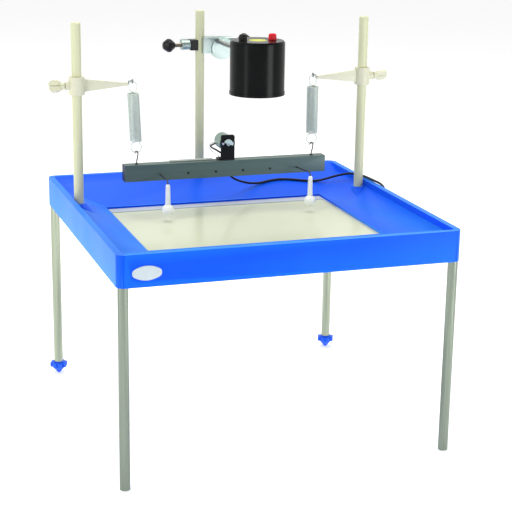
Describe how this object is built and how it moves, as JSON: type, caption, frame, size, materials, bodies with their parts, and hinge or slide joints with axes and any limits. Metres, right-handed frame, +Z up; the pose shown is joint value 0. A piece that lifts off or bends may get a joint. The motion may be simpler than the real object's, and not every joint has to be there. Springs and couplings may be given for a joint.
{
  "type": "ripple tank",
  "caption": "Shallow basin with a glass window on legs; a beam with dippers hangs on springs above it and a lamp on a rear rod shines down through the window.",
  "frame": {"origin": "centre of the basin at the level of the bench that the legs stand on", "axes": "+Z up, +X to the right seen from the front, +Y towards the rear rod that carries the lamp"},
  "size_m": [0.59, 0.546, 0.65],
  "materials": {
    "basin": "moulded, glossy",
    "glass": "clear",
    "seal": "matt",
    "frame_grey": "matt",
    "screws": "bright",
    "badge": "satin",
    "steel_tube": "brushed",
    "grey_plastic": "matt",
    "black_plastic": "matt",
    "blue_knob": "glossy",
    "cream": "satin",
    "wire_steel": "bright",
    "spring_steel": "bright",
    "beam_dark": "satin, dark",
    "strip_grey": "matt",
    "black_metal": "satin",
    "motor_can": "satin",
    "weight_grey": "satin",
    "white_plastic": "glossy",
    "clamp_silver": "cast, satin",
    "knob_black": "satin",
    "rod_steel": "bright",
    "lamp_black": "satin",
    "label_yellow": "printed, blank",
    "bulb_glass": "clear",
    "brass_post": "bright",
    "red_plastic": "glossy",
    "cord_black": "satin"
  },
  "bodies": {
    "base": {"tray": "basin", "glass_pane": "glass", "pane_seal": "seal", "pane_frame": "frame_grey", "frame_screws": "screws", "badge_plate": "badge", "front_left_leg": "steel_tube", "front_right_leg": "steel_tube", "rear_left_leg": "steel_tube", "rear_right_leg": "steel_tube", "leg_plugs": "grey_plastic", "foot_inserts": "black_plastic", "left_rod": "cream", "right_rod": "cream", "lead": "cord_black", "lead_coil": "cord_black", "coil_tie": "black_plastic", "lead_plug": "black_plastic"},
    "left_levelling_foot": {"left_foot": "blue_knob"},
    "right_levelling_foot": {"right_foot": "blue_knob"},
    "left_arm_body": {"left_arm": "cream", "left_arm_eye": "wire_steel", "left_spring": "spring_steel"},
    "right_arm_body": {"right_arm": "cream", "right_arm_eye": "wire_steel", "right_spring": "spring_steel"},
    "left_wing": {"left_wing_screw": "cream"},
    "right_wing": {"right_wing_screw": "cream"},
    "beam_body": {"beam": "beam_dark", "beam_ends": "black_plastic", "beam_eyes": "wire_steel", "cable_strip": "strip_grey", "motor_bracket": "black_metal", "bracket_screws": "screws", "motor": "motor_can", "motor_leads": "cord_black", "cord_gland": "cord_black"},
    "rotor": {"motor_shaft": "wire_steel", "weight": "weight_grey"},
    "left_dipper_body": {"left_wire": "wire_steel", "left_dipper": "white_plastic"},
    "right_dipper_body": {"right_wire": "wire_steel", "right_dipper": "white_plastic"},
    "rear_upright": {"back_rod": "cream"},
    "clamp": {"clamp_head": "clamp_silver", "clamp_pad": "black_plastic"},
    "rod_knob": {"rod_clamp_screw": "knob_black"},
    "lamp_knob": {"lamp_clamp_screw": "knob_black"},
    "lamp_arm": {"lamp_rod": "rod_steel"},
    "lamp": {"lamp_housing": "lamp_black", "lamp_cap": "lamp_black", "lamp_label": "label_yellow", "lamp_base": "lamp_black", "lamp_glass": "glass", "bulb_holder": "white_plastic", "bulb": "bulb_glass", "terminal_posts": "brass_post"},
    "black_cap": {"black_terminal": "black_plastic"},
    "red_cap": {"red_terminal": "red_plastic"}
  },
  "joints": [
    {"name": "left_foot_turn", "type": "hinge", "parent": "base", "child": "left_levelling_foot", "pos_m": [-0.26, 0.26, 0], "axis": [0, 0, 1], "continuous": true},
    {"name": "right_foot_turn", "type": "hinge", "parent": "base", "child": "right_levelling_foot", "pos_m": [0.26, 0.26, 0], "axis": [0, 0, 1], "continuous": true},
    {"name": "left_arm_slide", "type": "slide", "parent": "base", "child": "left_arm_body", "axis": [0, 0, 1], "range_m": [-0.002, 0.06]},
    {"name": "right_arm_slide", "type": "slide", "parent": "base", "child": "right_arm_body", "axis": [0, 0, 1], "range_m": [-0.002, 0.06]},
    {"name": "left_wing_turn", "type": "hinge", "parent": "left_arm_body", "child": "left_wing", "pos_m": [-0.262, 0.098, 0.5485], "axis": [1, 0, 0], "continuous": true},
    {"name": "right_wing_turn", "type": "hinge", "parent": "right_arm_body", "child": "right_wing", "pos_m": [0.262, 0.098, 0.5485], "axis": [1, 0, 0], "continuous": true},
    {"name": "beam_bob", "type": "slide", "parent": "left_arm_body", "child": "beam_body", "axis": [0, 0, 1], "range_m": [-0.005, 0.008], "stiffness_N_per_m": 1000, "springref_m": 0.0045, "deforming": ["left_spring", "right_spring", "lead"]},
    {"name": "motor_spin", "type": "hinge", "parent": "beam_body", "child": "rotor", "pos_m": [0.006, 0.095, 0.442], "axis": [0, 1, 0], "continuous": true},
    {"name": "left_dipper_turn", "type": "hinge", "parent": "beam_body", "child": "left_dipper_body", "pos_m": [-0.11275, 0.088, 0.396], "axis": [0, 1, 0], "range_deg": [-80, 80]},
    {"name": "right_dipper_turn", "type": "hinge", "parent": "beam_body", "child": "right_dipper_body", "pos_m": [0.12875, 0.088, 0.396], "axis": [0, 1, 0], "range_deg": [-80, 80]},
    {"name": "rear_upright_turn", "type": "hinge", "parent": "base", "child": "rear_upright", "pos_m": [0, 0.243, 0], "axis": [0, 0, 1], "range_deg": [-15, 15]},
    {"name": "clamp_slide", "type": "slide", "parent": "rear_upright", "child": "clamp", "axis": [0, 0, 1], "range_m": [-0.06, 0.04]},
    {"name": "rod_knob_turn", "type": "hinge", "parent": "clamp", "child": "rod_knob", "pos_m": [-0.045, 0.243, 0.59], "axis": [1, 0, 0], "continuous": true},
    {"name": "lamp_knob_turn", "type": "hinge", "parent": "clamp", "child": "lamp_knob", "pos_m": [0.069, 0.239, 0.597], "axis": [1, 0, 0], "continuous": true},
    {"name": "lamp_reach", "type": "slide", "parent": "clamp", "child": "lamp_arm", "axis": [0, 1, 0], "range_m": [-0.015, 0.06]},
    {"name": "lamp_tilt", "type": "hinge", "parent": "lamp_arm", "child": "lamp", "pos_m": [0.03, 0.014, 0.597], "axis": [0, 1, 0], "range_deg": [-40, 40]},
    {"name": "black_cap_turn", "type": "hinge", "parent": "lamp", "child": "black_cap", "pos_m": [0.005, 0.014, 0.625], "axis": [0, 0, 1], "continuous": true},
    {"name": "red_cap_turn", "type": "hinge", "parent": "lamp", "child": "red_cap", "pos_m": [0.055, 0.014, 0.625], "axis": [0, 0, 1], "continuous": true}
  ],
  "couplings": [
    {"joint": "right_arm_slide", "follows": "left_arm_slide", "ratio": 1}
  ]
}
